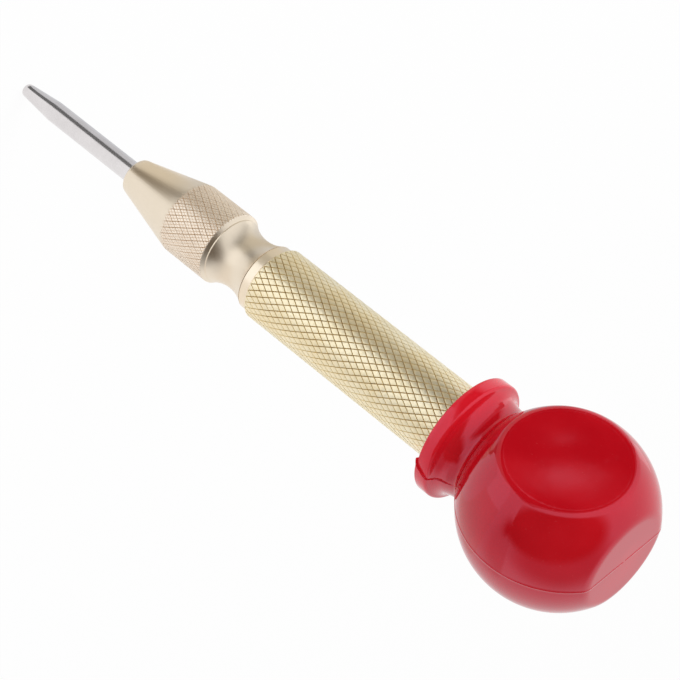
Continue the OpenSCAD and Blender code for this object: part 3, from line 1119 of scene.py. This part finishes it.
light_coils = spring("light_spring", "return_spring", light_turns, light_wire_d, 0, light_turns)
press(light_coils)

heavy_low, heavy_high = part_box("main_spring")
closed_z = (heavy_wire_d * 1.5 + end_air) * MM
open_pitch = (heavy_high.z - heavy_low.z - 2 * closed_z) / (heavy_turns - 2)
split_z = heavy_low.z + closed_z + (heavy_split - 1) * open_pitch
heavy = ("main_spring", heavy_turns, heavy_wire_d)
front_coils = spring("heavy_spring_front", *heavy, 0, heavy_split - split_air)
press(front_coils)
rear_coils = spring("heavy_spring_rear", *heavy, heavy_split + split_air, heavy_turns)
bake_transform(rear_coils, "barrel", "seat", start=(0, 0, split_z), end=(0, 0, heavy_high.z - closed_z))
print("heavy spring meets itself at", round(split_z / MM, 2), "mm")

# %% [markdown]
# ## Inner pieces
# Plunger, stem, hammer, seat and end cap have the right shape in the frame already. They only get
# their finish.

# %% Finish of the inner pieces
INNER_FINISH = {
    "plunger": ("inner_steel", inner_steel),
    "trip_stem": ("inner_steel", inner_steel),
    "hammer": ("inner_steel", inner_steel),
    "spring_seat": ("inner_steel", inner_steel),
    "end_cap": ("barrel_brass", cap_brass),
}
for name, (slot, material) in INNER_FINISH.items():
    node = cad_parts[name]
    node.data.materials.clear()
    node.data.materials.append(material)
print("inner pieces:", sorted(INNER_FINISH))

# %% [markdown]
# ## Studio
# The photograph has a plain white ground and very soft light. The floor and the world show
# themselves white to the camera and to mirrors, while the lamps light the tool at a plain level.
# A small share of the floor's paint still shows, so it takes a faint shadow.

# %% Floor and world
WHITE = (1, 1, 1, 1)
floor_half = 1500
floor_glow = 0.94
ambient = 0.75


def seen_directly(bench):
    """1 for rays from the camera, in a mirror or through glass."""
    seen = bench.node("ShaderNodeLightPath", output="Is Camera Ray")
    rays = [bench.other(seen, kind) for kind in ("Is Glossy Ray", "Is Transmission Ray")]
    return seen.math("MAXIMUM", rays[0]).math("MAXIMUM", rays[1])


def flat_piece(name, corners, paint, faces=None):
    """A flat piece of the studio from its corners in millimetres."""
    data = bpy.data.meshes.new(name)
    places = [[v * MM for v in corner] for corner in corners]
    data.from_pydata(places, [], faces or [range(len(corners))])
    data.materials.append(paint)
    piece = new_object(name, data)
    return piece


def rectangle(w, h):
    """Corners about the origin from half a width and half a height."""
    return [(-w, -h, 0), (w, -h, 0), (w, h, 0), (-w, h, 0)]


floor_paint, floor_bench, floor_shader = new_finish(
    "floor_paint", Roughness=0.9, Base_Color=(0.9, 0.9, 0.9, 1))
shown = floor_bench.node(
    "ShaderNodeMixShader", seen_directly(floor_bench) * floor_glow,
    Wire(floor_bench, floor_shader.outputs[0]),
    floor_bench.node("ShaderNodeEmission", Color=WHITE, Strength=1.0))
floor_bench.put(floor_paint.node_tree.nodes["Material Output"], "Surface", shown)
flat_piece("floor", rectangle(floor_half, floor_half), floor_paint)

world = bpy.data.worlds.new("studio")
world.use_nodes = True
bpy.context.scene.world = world
sky = Bench(world.node_tree)
ground = world.node_tree.nodes["Background"]
sky.put(ground, "Strength", ambient + (1 - ambient) * seen_directly(sky))
sky.put(ground, "Color", WHITE)
print("floor", 2 * floor_half, "mm wide, ambient light", ambient)

# %% [markdown]
# Three soft lamps stand round the camera and light the tool from the left, the right and the front.
# Mirrors don't see them, because the cards below draw the reflections.

# %% Lamps
# Distances from the aim point along the camera's axes, then the size, in metres, and the power
LAMPS = {
    "left_softbox": ((-0.55, 0.25, 0.35), 0.4, 1.4),
    "right_softbox": ((0.55, 0.15, 0.30), 0.4, 1.6),
    "front_softbox": ((0.0, -0.2, 0.7), 0.5, 0.3),
}
for name, ((aside, above, behind), size, power) in LAMPS.items():
    light = bpy.data.lights.new(name, "AREA")
    light.size = size
    light.energy = power
    lamp = new_object(name, light)
    toward = aside * camera_right + above * camera_up + behind * camera_back
    lamp.location = camera_aim + toward
    lamp.rotation_mode = "QUATERNION"
    lamp.rotation_quaternion = toward.to_track_quat("Z", "Y")
    lamp.visible_glossy = False
print("lamps:", sorted(LAMPS))

# %% [markdown]
# ### Cards
# Brass in an all-white studio turns white on white. A photographer lays dark and grey cards beside
# it, and their reflections draw the streaks that show its roundness. The cards here are seen by
# mirror rays only. Some fade out towards a rounded edge, and some by an attribute named cover.

# %% Paint and card


def card_paint(name, brightness, tint=WHITE, half_size=None, soft=0.0, feathered=False):
    """Even glow that fades over a share of its rounded half size, or by its mesh's cover."""
    paint = bpy.data.materials.new(name)
    paint.use_nodes = True
    paint.node_tree.nodes.clear()
    bench = Bench(paint.node_tree)
    glow = bench.node("ShaderNodeEmission", Color=tint, Strength=brightness)
    if half_size:
        place = millimetres(bench, [1 / half_size[0], 1 / half_size[1], 0])
        reach = bench.node("ShaderNodeVectorMath", place, operation="LENGTH", output="Value")
        cover = 1.0 - reach.ramp(1.0 - soft, 1.0)
    elif feathered:
        cover = attribute(bench, "cover")
    if half_size or feathered:
        clear = bench.node("ShaderNodeBsdfTransparent")
        glow = bench.node("ShaderNodeMixShader", cover, clear, glow)
    bench.node("ShaderNodeOutputMaterial", Surface=glow)
    return paint


def card(name, corners, paint, faces=None):
    """A flat piece that only mirrors see."""
    piece = flat_piece(name, corners, paint, faces)
    for ray in ("camera", "diffuse", "transmission", "shadow", "volume_scatter"):
        setattr(piece, "visible_" + ray, False)
    return piece


def soft_card(name, half_size, soft, brightness, tint=WHITE):
    """A card about its own origin that fades out towards a rounded edge."""
    paint = card_paint(name, brightness, tint, half_size, soft)
    return card(name, rectangle(*half_size), paint)


print("cards ready")

# %% [markdown]
# A ring on the floor about the tool shows in every turned piece, and a sector of it shows as a
# streak. Near rings show in the pin, wider ones in the nose and barrel. The cone leans, so it sees
# a ring close below it, which is hung in the air where the pin doesn't show it.

# %% Cards for pin, nose and barrel
floor_lift = 0.3
cone_lift = 29.6
sector_steps = 12
feather_steps = 14
straw = (1.0, 0.93, 0.80, 1)
cool = (0.97, 0.98, 1.0, 1)
cold = (0.95, 0.97, 1.0, 1)
rosy = (1.0, 0.95, 0.90, 1)
bronze = (1.0, 0.85, 0.65, 1)
near_ring, nose_ring, barrel_ring, long_ring = (1.7, 60), (60, 115), (115, 222), (60, 222)
cone_ring = (4.4, 16)
dark_turns, grey_turns, edge_turns = (-116, -78), (-165, -116), (-225, -165)


def sweep(radius, z, turns):
    """Places on a circle at angles in degrees."""
    return on_circle(radius, z, [radians(turn) for turn in turns])


def floor_card(name, turns, radii, brightness, tint=WHITE, lift=floor_lift):
    """A sector of a ring on the floor, between two angles about the tool's axis and two radii."""
    turns = spread(*turns, sector_steps)
    corners = sweep(radii[1], lift, turns) + sweep(radii[0], lift, turns[::-1])
    return card(name, corners, card_paint(name, brightness, tint))


def far_card(name, near, far, radii, feather, brightness, tint=WHITE, lift=floor_lift):
    """A sector with other angles at its far radius than at its near one, and feathered sides."""
    points = []
    for radius, (start, end) in zip(radii, (near, far)):
        inside = spread(start + feather / 2, end - feather / 2, feather_steps - 2)
        points += sweep(radius, lift, [start - feather / 2, *inside, end + feather / 2])
    row = feather_steps + 1
    faces = [(k, k + 1, row + k + 1, row + k) for k in range(feather_steps)]
    piece = card(name, points, card_paint(name, brightness, tint, feathered=True), faces)
    cover = piece.data.attributes.new("cover", "FLOAT", "POINT")
    cover.data.foreach_set("value", 2 * [0.0, *[1.0] * (row - 2), 0.0])
    return piece


floor_card("inner_floor_card", dark_turns, near_ring, 0.17)
floor_card("inner_grey_floor_card", grey_turns, near_ring, 0.72, cool)
floor_card("dark_floor_card", dark_turns, long_ring, 0.52, straw)
floor_card("nose_grey_floor_card", grey_turns, nose_ring, 0.64, straw)
floor_card("grey_floor_card", grey_turns, barrel_ring, 0.75, straw)
floor_card("inner_edge_floor_card", edge_turns, near_ring, 0.78, cold)
floor_card("nose_edge_floor_card", edge_turns, nose_ring, 0.64, straw)
floor_card("edge_floor_card", edge_turns, barrel_ring, 0.76, cold)
floor_card("lit_floor_card", (-78, -12), (88, 222), 1.2)
floor_card("left_floor_card", (-12, 85), (80, 222), 0.94, rosy)
far_card("cone_dark_card", (-82, -62), (-101, -58), cone_ring, 8, 0.24, bronze, cone_lift + 0.1)
floor_card("cone_grey_card", (-168, -57), cone_ring, 0.76, straw, cone_lift)
floor_card("cone_edge_card", (-230, -168), cone_ring, 0.92, lift=cone_lift)

# %% [markdown]
# The ball mirrors nearly all of the room. Far cards on the floor draw the dark shape below its
# dish, patches draw the haze and the small lights on its left and neck, two upright cards stand at
# the horizon, and two soft cards beside and under the camera darken its middle.

# %% Cards for the ball


def wall_card(name, turns, distance, top, brightness):
    """An upright card on the floor between two angles about the tool's axis."""
    corners = sweep(distance, 0, turns) + sweep(distance, top, turns[::-1])
    return card(name, corners, card_paint(name, brightness))


def floor_patch(name, centre, half_size, brightness, soft=1.0, lift=0.6):
    """A soft-edged patch on the floor."""
    piece = soft_card(name, half_size, soft, brightness)
    piece.location = Vector((*centre, lift)) * MM
    return piece


def sky_card(name, sight, distance, half_size, soft, brightness, tint=WHITE, shift=(0, 0)):
    """A card that faces the ball from a direction given along the camera's axes."""
    piece = soft_card(name, half_size, soft, brightness, tint)
    toward = (sight[0] * camera_right + sight[1] * camera_up + camera_back).normalized()
    across = camera_up.cross(toward).normalized()
    along = toward.cross(across)
    spot = toward * distance + across * shift[0] + along * shift[1] + Vector((0, 0, ball_z))
    turned = Matrix((across, along, toward)).transposed()
    piece.matrix_world = Matrix.Translation(spot * MM) @ turned.to_4x4()
    return piece


amber = (1.0, 0.72, 0.45, 1)
far_card("far_floor_card", (-134, -93), (-152, -58), (222, 600), 22, 0.02)
far_card("horizon_floor_card", (-150, -58), (-150, -58), (600, 1400), 10, 0.35)
floor_patch("left_haze_card", (650, 220), (560, 520), 0.66, soft=0.4)
floor_patch("left_shade_card", (580, -45), (300, 150), 0.06, soft=0.8, lift=0.9)
floor_patch("upper_patch_card", (-207.3, -313.3), (5.2, 9), 0.5)
floor_patch("lower_patch_card", (-204.6, -284.6), (8, 11.8), 1.2)
wall_card("horizon_card", (-168, -135), 700, 75, 0.25)
wall_card("bright_card", (155, 191), 700, 140, 1.35)
sky_card("camera_card", (-0.086, -0.33), 400, (790, 350), 0.46, 0.09, amber, (-60, -55))
sky_card("lower_card", (0.0, -1.6), 640, (1100, 620), 0.7, 0.35)

# %% [markdown]
# ## Picture settings
# The Standard view shows colours as they are written.

# %% Finish
bpy.context.scene.view_settings.view_transform = "Standard"
